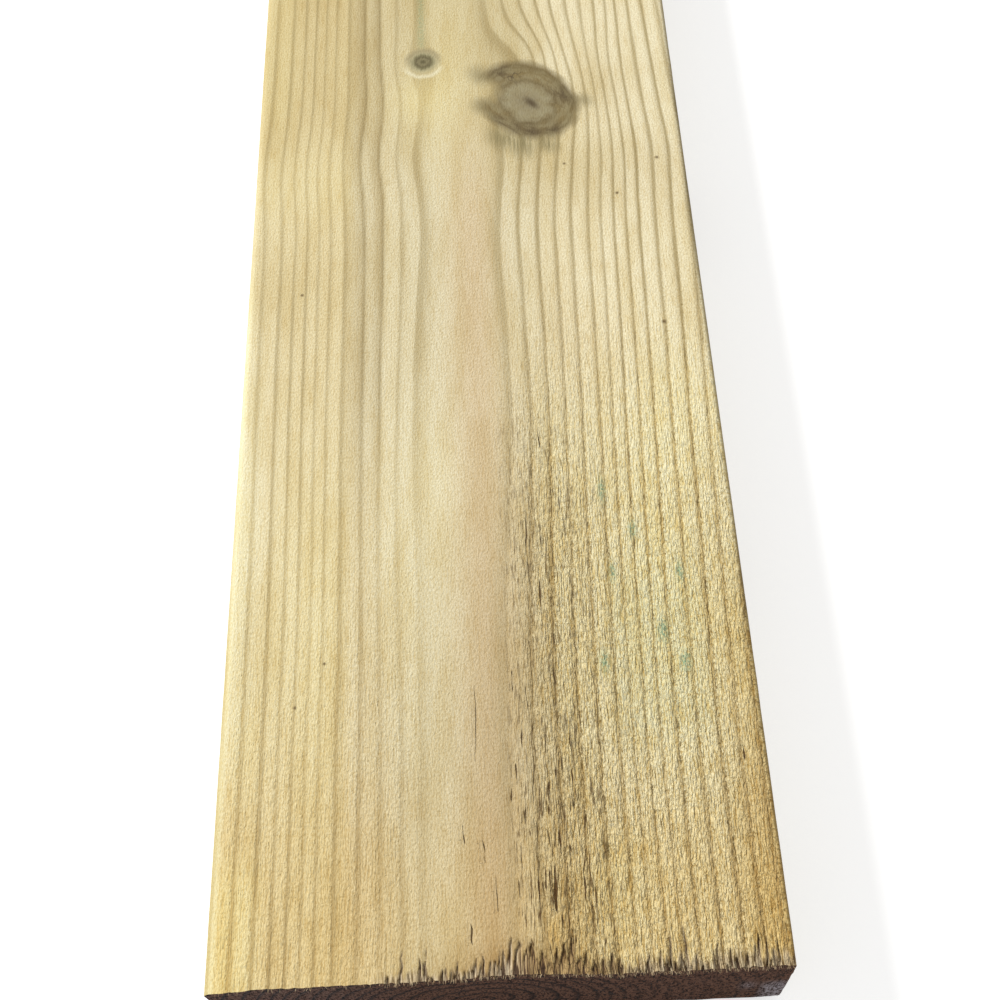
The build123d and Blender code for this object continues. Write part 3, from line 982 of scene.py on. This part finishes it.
def fibre_tree():
    """Geometry nodes that stand one thin tapered fibre on each point, turned and scaled by chance."""
    tree = bpy.data.node_groups.new("loose_fibres", "GeometryNodeTree")
    for name, kind in FIBRE_INPUTS.items():
        tree.interface.new_socket(name, in_out="INPUT", socket_type="NodeSocket" + kind)
    tree.interface.new_socket("Fibres", in_out="OUTPUT", socket_type="NodeSocketGeometry")
    add = partial(add_node, tree)
    given = add("NodeGroupInput").outputs
    fibre = add("GeometryNodeMeshCone", {
        "Vertices": 4, "Side Segments": 1, "Radius Top": 0.12, "Radius Bottom": 0.5, "Depth": 1.0})
    turn = add("FunctionNodeRandomValue", {
        "Min": given["Least Turn"], "Max": given["Most Turn"], "Seed": given["Seed"]},
        data_type="FLOAT_VECTOR")
    turn = add("FunctionNodeEulerToRotation", {"Euler": turn})
    size = add("FunctionNodeRandomValue", {"Min": 0.3, "Max": 1.6, "Seed": given["Seed"]}, data_type="FLOAT")
    flat = add("ShaderNodeMath", {0: given["Width"], 1: given["Flatness"]}, operation="MULTIPLY")
    shape = add("ShaderNodeCombineXYZ", {"X": given["Width"], "Y": flat, "Z": given["Length"]})
    scale = add("ShaderNodeVectorMath", {0: shape, "Scale": size}, operation="SCALE")
    stood = add("GeometryNodeInstanceOnPoints", {
        "Points": given["Roots"], "Instance": fibre, "Rotation": turn, "Scale": scale})
    real = add("GeometryNodeRealizeInstances", {"Geometry": stood})
    dressed = add("GeometryNodeSetMaterial", {"Geometry": real, "Material": given["Material"]})
    add("NodeGroupOutput", {"Fibres": dressed})
    return tree


def build_fibres(name, tree, roots, sizes):
    """One plain mesh of fibres on these roots, which are rows of x, g and z."""
    mesh = bpy.data.meshes.new(name + "_roots")
    mesh.from_pydata(((roots + (MIDDLE, PHOTOGRAPHED_END, UNDERSIDE)) * MM).tolist(), [], [])
    holder = show(name + "_roots", mesh)
    modifier = holder.modifiers.new("fibres", "NODES")
    modifier.node_group = tree
    for item in tree.interface.items_tree:
        if item.in_out == "INPUT" and item.name in sizes:
            modifier[item.identifier] = sizes[item.name]
    bpy.context.view_layer.update()
    evaluated = holder.evaluated_get(bpy.context.evaluated_depsgraph_get())
    made = bpy.data.meshes.new_from_object(evaluated)
    bpy.data.objects.remove(holder)
    made.name = name
    return show(name, made)


def frayed_roots():
    """Roots along the upper edge of the sawn end, thickest where the saw tore it."""
    rng = np.random.default_rng(21)
    x = rng.uniform(-WIDTH / 2 + ARRIS, WIDTH / 2 - 1.0, FIBRE_ROOTS)
    x = x[rng.uniform(0.0, 1.0, x.size) < 0.25 + 0.75 * fade(x, -34.0, -22.0)]
    g = np.zeros_like(x)
    top = THICKNESS + face_relief(x, g, ring_number(x, g, g + THICKNESS))
    below = 0.1 + 0.9 * rng.uniform(0.0, 1.0, x.size) ** 2
    return np.stack((x, g + 0.3 + sawn_relief(x, top), top - below), axis=1)


board = build_board(planed_treated_pine(), sawn_end_grain())
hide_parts("decking_board")
frayed = build_fibres("frayed_fibres", fibre_tree(), frayed_roots(), {
    "Length": 0.8 * MM, "Width": 0.18 * MM, "Flatness": 0.6, "Seed": 1, "Material": torn_pine_fibres(),
    "Least Turn": (math.radians(70.0), 0.0, math.radians(-30.0)),
    "Most Turn": (math.radians(105.0), 0.0, math.radians(30.0))})
for piece in (board, frayed):
    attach(piece, "root")

# Stage: a white floor and soft daylight from the far left
FLOOR_HALF = 4.0
FLOOR_GAP = 0.1
FLOOR_GLOW = 0.55
SKY_STRENGTH = 0.44
SUN_STRENGTH = 2.65
SUN_SPREAD = 12.0
SUN_TURN = (-26.0, -44.0, 0.0)


def seen_directly(add):
    """1 for rays from the camera, a reflection or a clear piece, which see the white background."""
    path = add("ShaderNodeLightPath").outputs
    seen = path["Is Camera Ray"]
    for ray in ("Is Glossy Ray", "Is Transmission Ray"):
        seen = add("ShaderNodeMath", {0: seen, 1: path[ray]}, operation="MAXIMUM")
    return seen


def white_studio_floor():
    """Matt white paper: it shows white with the board's soft shadow, and throws little light back at it."""
    material, shader, add = start_material("matt white paper")
    material.node_tree.nodes.remove(shader)
    paper = add("ShaderNodeBsdfDiffuse", {"Color": linear("#f4f4f4")})
    glow = add("ShaderNodeEmission", {"Color": linear("#ffffff"), "Strength": FLOOR_GLOW})
    seen = add("ShaderNodeAddShader", {0: paper, 1: glow})
    dim = add("ShaderNodeBsdfDiffuse", {"Color": linear("#8a8a88")})
    mixed = add("ShaderNodeMixShader", {0: seen_directly(add), 1: dim, 2: seen})
    set_inputs(material.node_tree.nodes["Material Output"], {"Surface": mixed})
    return material


floor_mesh = bpy.data.meshes.new("floor")
floor_level = low.z - FLOOR_GAP * MM
floor_sides = ((-1, -1), (1, -1), (1, 1), (-1, 1))
floor_corners = [(x * FLOOR_HALF, y * FLOOR_HALF, floor_level) for x, y in floor_sides]
floor_mesh.from_pydata(floor_corners, [], [(0, 1, 2, 3)])
floor_mesh.materials.append(white_studio_floor())
floor = show("floor", floor_mesh)

world = bpy.data.worlds.new("white studio")
world.use_nodes = True
bpy.context.scene.world = world
add_to_world = partial(add_node, world.node_tree)
sky = add_to_world("ShaderNodeBackground", {"Color": linear("#ffffff"), "Strength": SKY_STRENGTH})
white = add_to_world("ShaderNodeBackground", {"Color": linear("#ffffff"), "Strength": 1.0})
backdrop = add_to_world("ShaderNodeMixShader", {0: seen_directly(add_to_world), 1: sky, 2: white})
set_inputs(world.node_tree.nodes["World Output"], {"Surface": backdrop})

sun = bpy.data.lights.new("daylight", "SUN")
sun.energy = SUN_STRENGTH
sun.angle = math.radians(SUN_SPREAD)
lamp = bpy.data.objects.new("daylight", sun)
lamp.rotation_euler = [math.radians(turn) for turn in SUN_TURN]
bpy.context.scene.collection.objects.link(lamp)

# The photograph's camera, placed from the middle of the face's sawn edge
SAWN_EDGE = (MIDDLE, PHOTOGRAPHED_END, UNDERSIDE + THICKNESS)
CAMERA_FROM_EDGE = (17.385, -66.4, 339.353)
CAMERA_TURN = (29.905, 3.275, -2.177)
camera = bpy.data.cameras.new("photograph")
camera.lens = 50.35
camera.sensor_width = 36.0
camera.clip_start = 0.01
viewer = bpy.data.objects.new("photograph", camera)
viewer.location = [(edge + step) * MM for edge, step in zip(SAWN_EDGE, CAMERA_FROM_EDGE)]
viewer.rotation_euler = [math.radians(turn) for turn in CAMERA_TURN]
bpy.context.scene.collection.objects.link(viewer)
bpy.context.scene.camera = viewer
bpy.context.scene.view_settings.view_transform = "Standard"
